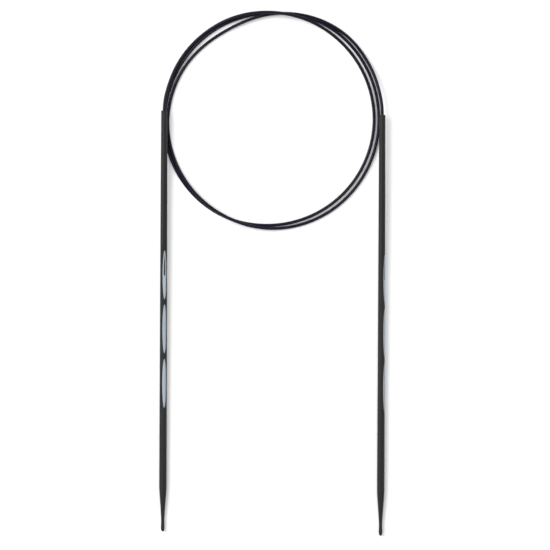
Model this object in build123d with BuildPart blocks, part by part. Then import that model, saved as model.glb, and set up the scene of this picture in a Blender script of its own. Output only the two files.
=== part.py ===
from build123d import *

import math
import os

# Circular knitting needle: two moulded tips joined by one thin cord, laid flat with the cord coiled.
# Millimetres. The tips run along Y with their points towards -Y, +Z is up and the surface is at Z = 0.
# The origin is under the middle of the two tips.
os.makedirs("parts", exist_ok=True)

# ---- driving dimensions -------------------------------------------------------------------------
# A distance along a tip is measured from its mouth, where the cord goes in, towards its point.
TIP_LENGTH = 170.0
TIP_SPACING = 88.0
LEFT_MOUTH_Y = 85.7
RIGHT_MOUTH_Y = 84.3
MOUTH_HEIGHT = 3.4
LEFT_ROLL = 17.0
RIGHT_ROLL = 64.0

GAUGE_RADIUS = 1.5
GAUGE_START = 130.0
GAUGE_END = 152.0
MOUTH_RADIUS = 1.25
WAIST_AT = 30.0
WAIST_RADIUS = 1.37
RIM_ROUND = 0.25
NECK_RADIUS = 0.67
NECK_AT = 165.8
DROP_RADIUS = 0.74
DROP_AT = 168.0
# Two stations on the cone between the gauge stretch and the neck: distance along, radius.
CONE_STATIONS = ((157.3, 1.17), (162.1, 0.835))

CORE_START = 1.0
CORE_END = 124.0
CORE_START_RADIUS = 1.0
CORE_END_RADIUS = 1.12
CORE_NOSE = 1.0
CORE_NOSE_RADIUS = 0.4

PAD_CENTRES = (66.3, 88.1, 110.1)
PAD_LENGTH = 19.7
PAD_WIDTH = 1.6
PAD_INSET = 0.05
PAD_BASE = 0.5
PAD_REACH = 1.6

CORD_DIAMETER = 1.25
CORD_RADIUS = CORD_DIAMETER / 2
RUNNING_GAP = 0.05
BORE_RADIUS = CORD_RADIUS + RUNNING_GAP
FLARE_RADIUS = 0.84
FLARE_DEPTH = 0.35
# How far a cutting profile runs past the face that it opens.
OVERRUN = 0.5
MOUTH_GAP = 0.15
TAIL_END = 66.5
STOP_RADIUS = 0.85
STOP_START = 64.9
STOP_END = 67.0
STOP_PLAY = 0.2

SLOT_START = 57.2
SLOT_SHOULDER = (61.6, 0.27)
SLOT_END = 66.6
SLOT_RADIUS = 0.36

COIL_CENTRE = (0.6, 81.9)
COIL_OUTER_RADIUS = 44.9
COIL_OUTER_SHIFT = (-0.7, 1.0)
COIL_INNER_RADIUS = 40.9
COIL_INNER_SHIFT = (-1.3, 0.4)
COIL_HEIGHT = 1.4
# Where strands cross, the coil is higher: each hump has its middle, half its spread and its height.
COIL_HUMPS = ((88.0, 30.0, 2.7), (88.0, 14.0, 4.0), (247.0, 24.0, 2.7))

LEAD_START = 3.5
BEND_SHARE = 0.45
# The cord between each mouth and the coil, after its first straight run.
LEFT_LEAD = (
    (-42.6, 95.1, 3.0),
    (-40.2, 101.8, 2.0),
    (-36.7, 108.0, 1.1),
    (-32.1, 113.5, 0.7),
    (-26.7, 118.1, 0.65),
)
RIGHT_LEAD = (
    (42.8, 94.0, 3.0),
    (40.6, 101.0, 2.0),
    (37.1, 107.5, 1.1),
    (32.7, 113.5, 0.7),
    (27.1, 118.4, 0.65),
)

# ---- directions ---------------------------------------------------------------------------------
# Each tip lies on the surface at the end of its gauge stretch, and its mouth is held up by the coil.
DROOP = math.asin((MOUTH_HEIGHT - GAUGE_RADIUS) / GAUGE_END)
ALONG = Vector(0, -math.cos(DROOP), -math.sin(DROOP))
UPWARD = Vector(0, -math.sin(DROOP), math.cos(DROOP))
SIDEWAYS = Vector(1, 0, 0)


def outer_outline(inset):
    """The outside of a tip as a half profile: distance along it, then radius less the inset."""
    mouth = (inset, 0)
    rim_inside = (inset, MOUTH_RADIUS - RIM_ROUND - inset)
    rim_outside = (RIM_ROUND + inset, MOUTH_RADIUS - inset)
    waist = (WAIST_AT, WAIST_RADIUS - inset)
    gauge_start = (GAUGE_START, GAUGE_RADIUS - inset)
    gauge_end = (GAUGE_END, GAUGE_RADIUS - inset)
    point = (TIP_LENGTH - inset, 0)
    cone = (
        gauge_end,
        *((station, radius - inset) for station, radius in CONE_STATIONS),
        (NECK_AT, NECK_RADIUS - inset),
        (DROP_AT, DROP_RADIUS - inset),
        point,
    )
    Line(mouth, rim_inside)
    RadiusArc(rim_inside, rim_outside, RIM_ROUND)
    Line(rim_outside, waist)
    Line(waist, gauge_start)
    Line(gauge_start, gauge_end)
    Spline(cone, tangents=((1, -0.02), (0, -1)))
    Line(point, mouth)


def core_outline():
    """The round body of the core as a half profile: distance along the tip, then radius."""
    Polyline(
        (CORE_START, 0),
        (CORE_START, CORE_START_RADIUS),
        (CORE_END - CORE_NOSE, CORE_END_RADIUS),
        (CORE_END, CORE_NOSE_RADIUS),
        (CORE_END, 0),
        close=True,
    )


def pad_outline(centre):
    """One long oval, lengthwise along the tip."""
    with Locations((centre, 0)):
        Ellipse(PAD_LENGTH / 2, PAD_WIDTH / 2)


def make_tip(side, mouth, roll):
    """Builds and writes one tip: its core, its skin, and the cord's end and end stop inside it."""
    facing = UPWARD * math.cos(math.radians(roll)) + SIDEWAYS * math.sin(math.radians(roll))
    axis = Axis(mouth, ALONG)
    profile = Plane(origin=mouth, x_dir=ALONG, z_dir=ALONG.cross(facing * -1))
    pad_base = Plane(origin=mouth, x_dir=ALONG, z_dir=facing).offset(PAD_BASE)

    # The core with its three raised oval pads, before it is bored.
    with BuildPart() as blank:
        with BuildSketch(profile):
            with BuildLine():
                core_outline()
            make_face()
        revolve(axis=axis)
        for centre in PAD_CENTRES:
            with BuildSketch(pad_base):
                pad_outline(centre)
            extrude(amount=PAD_REACH)
        with BuildSketch(profile):
            with BuildLine():
                outer_outline(PAD_INSET)
            make_face()
        revolve(axis=axis, mode=Mode.INTERSECT)

    # The pale core: bored for the cord's end, wider at its stop, and slotted in the first pad.
    with BuildPart() as core:
        add(blank.part)
        with BuildSketch(profile):
            with BuildLine():
                Polyline(
                    (CORE_START - OVERRUN, 0),
                    (CORE_START - OVERRUN, BORE_RADIUS),
                    (STOP_START - STOP_PLAY, BORE_RADIUS),
                    (STOP_START - STOP_PLAY, STOP_RADIUS + RUNNING_GAP),
                    (STOP_END + STOP_PLAY, STOP_RADIUS + RUNNING_GAP),
                    (STOP_END + STOP_PLAY, 0),
                    close=True,
                )
            make_face()
        revolve(axis=axis, mode=Mode.SUBTRACT)
        with BuildSketch(pad_base):
            with BuildLine():
                Line((SLOT_START, 0), SLOT_SHOULDER)
                Line(SLOT_SHOULDER, (SLOT_END - SLOT_RADIUS, SLOT_RADIUS))
                ThreePointArc(
                    (SLOT_END - SLOT_RADIUS, SLOT_RADIUS),
                    (SLOT_END, 0),
                    (SLOT_END - SLOT_RADIUS, -SLOT_RADIUS),
                )
                Line((SLOT_END - SLOT_RADIUS, -SLOT_RADIUS), (SLOT_SHOULDER[0], -SLOT_SHOULDER[1]))
                Line((SLOT_SHOULDER[0], -SLOT_SHOULDER[1]), (SLOT_START, 0))
            make_face()
        extrude(amount=PAD_REACH, mode=Mode.SUBTRACT)
    core.part.label = side + "_tip_core"
    export_step(core.part, "parts/" + side + "_tip_core.step")

    # The black skin round the core, open over the pads, with a flared mouth for the cord.
    with BuildPart() as skin:
        with BuildSketch(profile):
            with BuildLine():
                outer_outline(0)
            make_face()
        revolve(axis=axis)
        with BuildSketch(profile):
            with BuildLine():
                core_outline()
            make_face()
        revolve(axis=axis, mode=Mode.SUBTRACT)
        for centre in PAD_CENTRES:
            with BuildSketch(pad_base):
                pad_outline(centre)
            extrude(amount=PAD_REACH, mode=Mode.SUBTRACT)
        with BuildSketch(profile):
            with BuildLine():
                Polyline(
                    (-OVERRUN, 0),
                    (-OVERRUN, FLARE_RADIUS),
                    (0, FLARE_RADIUS),
                    (FLARE_DEPTH, BORE_RADIUS),
                    (CORE_START + OVERRUN, BORE_RADIUS),
                    (CORE_START + OVERRUN, 0),
                    close=True,
                )
            make_face()
        revolve(axis=axis, mode=Mode.SUBTRACT)
    skin.part.label = side + "_tip_skin"
    export_step(skin.part, "parts/" + side + "_tip_skin.step")

    # The end of the cord inside the tip.
    with BuildPart() as tail:
        with BuildSketch(Plane(origin=mouth, z_dir=ALONG).offset(MOUTH_GAP)):
            Circle(CORD_RADIUS)
        extrude(amount=TAIL_END - MOUTH_GAP)
    tail.part.label = side + "_cord_tail"
    export_step(tail.part, "parts/" + side + "_cord_tail.step")

    # The cap on the cord's end, which turns in the core and can't pull out of it.
    with BuildPart() as stop:
        with BuildSketch(Plane(origin=mouth, z_dir=ALONG).offset(STOP_START)):
            Circle(STOP_RADIUS)
        extrude(amount=STOP_END - STOP_START)
        with BuildSketch(Plane(origin=mouth, z_dir=ALONG).offset(STOP_START)):
            Circle(CORD_RADIUS)
        extrude(amount=TAIL_END - STOP_START, mode=Mode.SUBTRACT)
    stop.part.label = side + "_cord_stop"
    export_step(stop.part, "parts/" + side + "_cord_stop.step")


def bend_radii(points):
    """The radius of each corner of a route, as large as its two runs allow."""
    radii = []
    for before, corner, after in zip(points, points[1:], points[2:]):
        arriving = corner - before
        leaving = after - corner
        half_turn = math.radians(arriving.get_angle(leaving)) / 2
        shorter = min(arriving.length, leaving.length)
        radii.append(BEND_SHARE * shorter / math.tan(half_turn))
    return radii


def make_lead(side, mouth, route):
    """Builds and writes the cord from one mouth to the coil, as runs joined by tangent arcs."""
    points = [mouth - ALONG * MOUTH_GAP, mouth - ALONG * LEAD_START]
    points += [Vector(*point) for point in route]
    radii = bend_radii(points)
    with BuildPart() as lead:
        with BuildLine() as path:
            FilletPolyline(*points, radius=radii)
        with BuildSketch(Plane(origin=path.line @ 0, z_dir=path.line % 0)):
            Circle(CORD_RADIUS)
        sweep()
    lead.part.label = side + "_cord_lead"
    export_step(lead.part, "parts/" + side + "_cord_lead.step")
    by_section = math.pi * CORD_RADIUS**2 * path.wire().length
    print(side, "lead radii", [round(radius, 1) for radius in radii])
    print(side, "lead volume over section times length", round(lead.part.volume / by_section, 4))


left_mouth = Vector(-TIP_SPACING / 2, LEFT_MOUTH_Y, MOUTH_HEIGHT)
right_mouth = Vector(TIP_SPACING / 2, RIGHT_MOUTH_Y, MOUTH_HEIGHT)
make_tip("left", left_mouth, LEFT_ROLL)
make_tip("right", right_mouth, RIGHT_ROLL)
make_lead("left", left_mouth, LEFT_LEAD)
make_lead("right", right_mouth, RIGHT_LEAD)


def ring_face(radius, shift):
    """A disc of the coil's outer or inner outline, which aren't quite on one centre."""
    with Locations((COIL_CENTRE[0] + shift[0], COIL_CENTRE[1] + shift[1])):
        return Circle(radius, mode=Mode.PRIVATE)


# The outer shape of the coil: a flat ring one strand high, with humps where strands cross.
with BuildPart() as coil:
    with BuildSketch() as ring:
        add(ring_face(COIL_OUTER_RADIUS, COIL_OUTER_SHIFT))
        add(ring_face(COIL_INNER_RADIUS, COIL_INNER_SHIFT), mode=Mode.SUBTRACT)
    extrude(amount=COIL_HEIGHT)
    for middle, spread, height in COIL_HUMPS:
        with BuildSketch():
            add(ring.sketch)
            with BuildLine():
                reach = COIL_OUTER_RADIUS * 2
                low = Vector(reach, 0).rotate(Axis.Z, middle - spread)
                high = Vector(reach, 0).rotate(Axis.Z, middle + spread)
                hub = Vector(*COIL_CENTRE)
                Polyline(hub, hub + low, hub + high, close=True)
            make_face(mode=Mode.INTERSECT)
        extrude(amount=height)
coil.part.label = "cord_coil"
export_step(coil.part, "parts/cord_coil.step")

mount_at = (GAUGE_START + GAUGE_END) / 2
for mouth in (left_mouth, right_mouth):
    print("gauge middle", mouth + ALONG * mount_at, "direction", ALONG)
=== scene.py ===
import math

import bpy
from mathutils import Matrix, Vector


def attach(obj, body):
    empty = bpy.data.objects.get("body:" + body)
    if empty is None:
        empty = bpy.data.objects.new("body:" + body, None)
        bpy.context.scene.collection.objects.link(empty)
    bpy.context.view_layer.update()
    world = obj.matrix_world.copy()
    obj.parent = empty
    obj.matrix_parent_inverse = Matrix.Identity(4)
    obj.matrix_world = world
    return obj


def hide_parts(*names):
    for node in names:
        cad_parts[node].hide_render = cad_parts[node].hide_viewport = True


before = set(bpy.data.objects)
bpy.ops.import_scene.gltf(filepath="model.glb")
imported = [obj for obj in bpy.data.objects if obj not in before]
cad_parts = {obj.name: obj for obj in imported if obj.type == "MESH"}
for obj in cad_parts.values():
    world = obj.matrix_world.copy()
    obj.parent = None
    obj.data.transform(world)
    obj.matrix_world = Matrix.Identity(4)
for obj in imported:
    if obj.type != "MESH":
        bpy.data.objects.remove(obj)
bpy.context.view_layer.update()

# Circular knitting needle. Metres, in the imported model's frame: the tips run along Y with their
# points towards -Y, +Z is up, and the needle lies on the plane Z = 0.
MM = 0.001

# ---- camera: straight down, with the two tips leaning very slightly -----------------------------
FRAME_WIDTH = 222.4 * MM
VIEW_CENTRE = (0.95 * MM, 19.5 * MM)
CAMERA_HEIGHT = 1.6
CAMERA_LEAN = math.radians(0.235)
SENSOR_WIDTH = 36.0

camera_data = bpy.data.cameras.new("camera")
camera_data.sensor_width = SENSOR_WIDTH
camera_data.lens = SENSOR_WIDTH * CAMERA_HEIGHT / FRAME_WIDTH
camera_data.clip_start = 0.05
camera_data.clip_end = 20.0
camera = bpy.data.objects.new("camera", camera_data)
camera.location = (VIEW_CENTRE[0], VIEW_CENTRE[1], CAMERA_HEIGHT)
camera.rotation_euler = (0.0, 0.0, CAMERA_LEAN)
bpy.context.scene.collection.objects.link(camera)
bpy.context.scene.camera = camera
bpy.context.scene.view_settings.view_transform = "Standard"

# ---- the cord's route, in millimetres -----------------------------------------------------------
CORD_RADIUS = 0.625
MOUTH_HEIGHT = 3.4
GAUGE_RADIUS = 1.5
GAUGE_END = 152.0
DROOP = math.asin((MOUTH_HEIGHT - GAUGE_RADIUS) / GAUGE_END)
ALONG = Vector((0.0, -math.cos(DROOP), -math.sin(DROOP)))
LEFT_MOUTH = Vector((-44.0, 85.7, MOUTH_HEIGHT))
RIGHT_MOUTH = Vector((44.0, 84.3, MOUTH_HEIGHT))
MOUTH_ENTRY = 0.05  # how far each end of the cord goes into its mouth
LEAD_START = 3.5  # how far the cord runs straight out of a mouth

# The cord between each mouth and the coil, after its first straight run.
LEFT_LEAD = (
    (-42.6, 95.1, 3.0),
    (-40.2, 101.8, 2.0),
    (-36.7, 108.0, 1.1),
    (-32.1, 113.5, 0.7),
    (-26.7, 118.1, 0.65),
)
RIGHT_LEAD = (
    (42.8, 94.0, 3.0),
    (40.6, 101.0, 2.0),
    (37.1, 107.5, 1.1),
    (32.7, 113.5, 0.7),
    (27.1, 118.4, 0.65),
)
COIL_CENTRE = (0.6, 81.9)
COIL_START = 118.0
COIL_END = -657.0
COIL_STEP = 8.0
# A smooth line runs inside its control points on a bend, so they are set out by this much.
BEND_ALLOWANCE = 1.0 / math.cos(math.radians(COIL_STEP / 2))

# How far out the cord runs, by the angle that it has turned through. Angles fall from 118 degrees,
# where the left lead joins the coil, to -657, where the right lead leaves it two turns later.
REACHES = (
    (126.0, 45.3),
    (112.0, 44.8),
    (88.0, 43.4),
    (60.0, 42.0),
    (30.0, 40.75),
    (0.0, 40.15),
    (-30.0, 40.15),
    (-62.0, 40.95),
    (-90.0, 42.2),
    (-118.0, 43.8),
    (-150.0, 44.6),
    (-180.0, 44.6),
    (-210.0, 44.2),
    (-240.0, 44.0),
    (-272.0, 43.4),
    (-300.0, 43.7),
    (-330.0, 42.75),
    (-360.0, 42.05),
    (-390.0, 42.2),
    (-420.0, 42.9),
    (-450.0, 43.6),
    (-478.0, 43.6),
    (-510.0, 43.5),
    (-540.0, 43.2),
    (-568.0, 42.45),
    (-602.0, 41.3),
    (-632.0, 43.3),
    (-664.0, 45.1),
)
# Where the cord climbs over the strands under it: middle of the hump, half its length and its rise.
CLIMBS = ((88.0, 40.0, 2.65), (-632.0, 34.0, 1.35), (-478.0, 40.0, 1.35))
CLIMB_STEEPNESS = 1.35  # above 1, a hump is flat on top

SPLINE_ORDER = 3
STEPS_PER_POINT = 6
ROUND_STEPS = 5


def eased(share):
    """Goes smoothly from 0 to 1."""
    share = min(max(share, 0.0), 1.0)
    return share * share * (3.0 - 2.0 * share)


def reach_at(angle):
    """The cord's distance from the coil's centre, on a smooth line through the chosen reaches."""
    for i in range(len(REACHES) - 1):
        (start, near), (end, far) = REACHES[i], REACHES[i + 1]
        if start >= angle >= end:
            before = REACHES[max(i - 1, 0)]
            after = REACHES[min(i + 2, len(REACHES) - 1)]
            span = end - start
            rise_in = (far - before[1]) / (end - before[0]) * span
            rise_out = (after[1] - near) / (after[0] - start) * span
            t = (angle - start) / span
            return (
                (2 * t**3 - 3 * t**2 + 1) * near
                + (t**3 - 2 * t**2 + t) * rise_in
                + (3 * t**2 - 2 * t**3) * far
                + (t**3 - t**2) * rise_out
            )
    raise ValueError(f"no reach at {angle}")


def height_at(angle):
    """The cord's centre lies a radius above the surface, higher where it climbs over other strands."""
    height = CORD_RADIUS
    for middle, spread, rise in CLIMBS:
        share = 1.0 - abs(angle - middle) / spread
        height += rise * eased(share * CLIMB_STEEPNESS)
    return height


def cord_route():
    """The whole cord from the left mouth to the right mouth, in millimetres."""
    route = [LEFT_MOUTH + ALONG * MOUTH_ENTRY, LEFT_MOUTH - ALONG * LEAD_START]
    route += [Vector(point) for point in LEFT_LEAD]
    steps = round((COIL_START - COIL_END) / COIL_STEP)
    for i in range(steps + 1):
        angle = COIL_START + (COIL_END - COIL_START) * i / steps
        turn = math.radians(angle)
        reach = reach_at(angle) * BEND_ALLOWANCE
        route.append(
            Vector(
                (
                    COIL_CENTRE[0] + reach * math.cos(turn),
                    COIL_CENTRE[1] + reach * math.sin(turn),
                    height_at(angle),
                )
            )
        )
    route += [Vector(point) for point in reversed(RIGHT_LEAD)]
    route += [RIGHT_MOUTH - ALONG * LEAD_START, RIGHT_MOUTH + ALONG * MOUTH_ENTRY]
    return route


def make_spline(name, points, radius):
    """A round curve piece along a smooth line guided by the given points, in millimetres."""
    curve = bpy.data.curves.new(name, "CURVE")
    curve.dimensions = "3D"
    spline = curve.splines.new("NURBS")
    spline.points.add(len(points) - 1)
    for control, point in zip(spline.points, points):
        control.co = (point[0] * MM, point[1] * MM, point[2] * MM, 1.0)
        control.radius = radius * MM
    spline.order_u = SPLINE_ORDER
    spline.use_endpoint_u = True
    spline.resolution_u = STEPS_PER_POINT
    curve.bevel_depth = 1.0
    curve.bevel_resolution = ROUND_STEPS
    curve.use_fill_caps = True
    piece = bpy.data.objects.new(name, curve)
    bpy.context.scene.collection.objects.link(piece)
    return piece


cord = make_spline("cord", cord_route(), CORD_RADIUS)
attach(cord, "cord")
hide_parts("cord_coil", "left_cord_lead", "right_cord_lead")


# ---- materials ----------------------------------------------------------------------------------
def new_material(name, base, roughness):
    """A new material, with its nodes, its links and its shader."""
    material = bpy.data.materials.new(name)
    material.use_nodes = True
    nodes = material.node_tree.nodes
    shader = nodes["Principled BSDF"]
    shader.inputs["Base Color"].default_value = (*base, 1.0)
    shader.inputs["Roughness"].default_value = roughness
    return material, nodes, material.node_tree.links, shader


def noise(nodes, links, coords, scale, detail, stretch=(1.0, 1.0, 1.0)):
    """Noise in the object's own metres, stretched along an axis where wanted."""
    mapping = nodes.new("ShaderNodeMapping")
    mapping.inputs["Scale"].default_value = stretch
    texture = nodes.new("ShaderNodeTexNoise")
    texture.inputs["Scale"].default_value = scale
    texture.inputs["Detail"].default_value = detail
    links.new(coords.outputs["Object"], mapping.inputs["Vector"])
    links.new(mapping.outputs["Vector"], texture.inputs["Vector"])
    return texture


def ramp(nodes, links, source, low, high, start=0.35, end=0.65):
    """Maps a noise onto two colours."""
    colours = nodes.new("ShaderNodeValToRGB")
    colours.color_ramp.elements[0].position = start
    colours.color_ramp.elements[0].color = (*low, 1.0)
    colours.color_ramp.elements[1].position = end
    colours.color_ramp.elements[1].color = (*high, 1.0)
    links.new(source.outputs["Fac"], colours.inputs["Fac"])
    return colours


def spread_of_roughness(nodes, links, source, shader, low, high):
    """Maps a noise onto the shader's roughness."""
    between = nodes.new("ShaderNodeMapRange")
    between.inputs["To Min"].default_value = low
    between.inputs["To Max"].default_value = high
    links.new(source.outputs["Fac"], between.inputs["Value"])
    links.new(between.outputs["Result"], shader.inputs["Roughness"])


def bump(nodes, links, source, shader, strength, distance):
    """A fine relief from a noise."""
    relief = nodes.new("ShaderNodeBump")
    relief.inputs["Strength"].default_value = strength
    relief.inputs["Distance"].default_value = distance
    links.new(source.outputs["Fac"], relief.inputs["Height"])
    links.new(relief.outputs["Normal"], shader.inputs["Normal"])


def skin_material():
    """Satin charcoal moulded plastic: faint flow streaks along the shaft and a fine texture."""
    material, nodes, links, shader = new_material("tip_skin", (0.01, 0.01, 0.011), 0.42)
    coords = nodes.new("ShaderNodeTexCoord")
    streaks = noise(nodes, links, coords, 900.0, 3.0, (1.0, 0.03, 1.0))
    grain = noise(nodes, links, coords, 9000.0, 2.0)
    colours = ramp(nodes, links, streaks, (0.011, 0.011, 0.0115), (0.016, 0.016, 0.017))
    links.new(colours.outputs["Color"], shader.inputs["Base Color"])
    spread_of_roughness(nodes, links, grain, shader, 0.36, 0.5)
    bump(nodes, links, grain, shader, 0.25, 0.00002)
    shader.inputs["Specular IOR Level"].default_value = 0.18
    return material


def core_material():
    """Pale blue-grey moulded plastic with slightly cloudy colour."""
    material, nodes, links, shader = new_material("tip_core", (0.38, 0.45, 0.52), 0.5)
    coords = nodes.new("ShaderNodeTexCoord")
    clouds = noise(nodes, links, coords, 350.0, 4.0, (1.0, 0.25, 1.0))
    grain = noise(nodes, links, coords, 8000.0, 2.0)
    colours = ramp(nodes, links, clouds, (0.26, 0.31, 0.365), (0.31, 0.365, 0.42))
    links.new(colours.outputs["Color"], shader.inputs["Base Color"])
    spread_of_roughness(nodes, links, grain, shader, 0.42, 0.58)
    bump(nodes, links, grain, shader, 0.2, 0.00002)
    return material


def cord_material():
    """Near-black extruded plastic with a purple cast, slightly glossy, faintly drawn lengthwise."""
    material, nodes, links, shader = new_material("cord", (0.008, 0.006, 0.015), 0.28)
    coords = nodes.new("ShaderNodeTexCoord")
    patches = noise(nodes, links, coords, 160.0, 3.0)
    grain = noise(nodes, links, coords, 5000.0, 2.0)
    colours = ramp(nodes, links, patches, (0.003, 0.0022, 0.0075), (0.0065, 0.005, 0.015))
    links.new(colours.outputs["Color"], shader.inputs["Base Color"])
    spread_of_roughness(nodes, links, patches, shader, 0.24, 0.36)
    bump(nodes, links, grain, shader, 0.12, 0.00001)
    shader.inputs["Specular IOR Level"].default_value = 0.15
    return material


def stop_material():
    """Dark moulded plastic of the cap on the cord's end."""
    material, nodes, links, shader = new_material("cord_stop", (0.014, 0.014, 0.016), 0.4)
    coords = nodes.new("ShaderNodeTexCoord")
    grain = noise(nodes, links, coords, 6000.0, 2.0)
    colours = ramp(nodes, links, grain, (0.011, 0.011, 0.013), (0.018, 0.018, 0.02))
    links.new(colours.outputs["Color"], shader.inputs["Base Color"])
    spread_of_roughness(nodes, links, grain, shader, 0.34, 0.48)
    bump(nodes, links, grain, shader, 0.15, 0.00001)
    return material


def put_on(piece, material):
    """Gives a piece one material."""
    piece.data.materials.clear()
    piece.data.materials.append(material)


skin_look = skin_material()
core_look = core_material()
cord_look = cord_material()
stop_look = stop_material()
put_on(cord, cord_look)
for side in ("left", "right"):
    put_on(bpy.data.objects[side + "_tip_skin"], skin_look)
    put_on(bpy.data.objects[side + "_tip_core"], core_look)
    put_on(bpy.data.objects[side + "_cord_tail"], cord_look)
    put_on(bpy.data.objects[side + "_cord_stop"], stop_look)


# ---- floor, light and background ----------------------------------------------------------------
FLOOR_HALF = 3.0
FLOOR_DROP = 0.05 * MM
LIGHT_TARGET = Vector((0.0, 0.02, 0.0))
# Each light's position, size and power.
KEY_LIGHT = ((-0.8, 0.45, 1.0), 0.9, 14.6)
FILL_LIGHT = ((0.9, -0.4, 1.4), 1.2, 2.5)
WORLD_COLOUR = (1.0, 1.0, 1.0, 1.0)
WORLD_STRENGTH = 0.84


def make_floor():
    """A plain pale surface under the needle."""
    mesh = bpy.data.meshes.new("floor")
    half = FLOOR_HALF
    corners = [(-half, -half, 0.0), (half, -half, 0.0), (half, half, 0.0), (-half, half, 0.0)]
    mesh.from_pydata(corners, [], [(0, 1, 2, 3)])
    floor = bpy.data.objects.new("floor", mesh)
    floor.location.z = -FLOOR_DROP
    bpy.context.scene.collection.objects.link(floor)
    material, _, _, shader = new_material("floor", (0.93, 0.93, 0.93), 0.9)
    shader.inputs["Specular IOR Level"].default_value = 0.1
    put_on(floor, material)


def make_area_light(name, position, size, power):
    """A square soft light that faces the needle."""
    data = bpy.data.lights.new(name, "AREA")
    data.shape = "SQUARE"
    data.size = size
    data.energy = power
    light = bpy.data.objects.new(name, data)
    light.location = position
    light.rotation_mode = "QUATERNION"
    light.rotation_quaternion = (Vector(position) - LIGHT_TARGET).to_track_quat("Z", "Y")
    bpy.context.scene.collection.objects.link(light)


make_floor()
make_area_light("key", *KEY_LIGHT)
make_area_light("fill", *FILL_LIGHT)
world = bpy.data.worlds.new("studio")
world.use_nodes = True
background = world.node_tree.nodes["Background"]
background.inputs["Color"].default_value = WORLD_COLOUR
background.inputs["Strength"].default_value = WORLD_STRENGTH
bpy.context.scene.world = world

# ---- bring the scene up to date -----------------------------------------------------------------
bpy.context.view_layer.update()
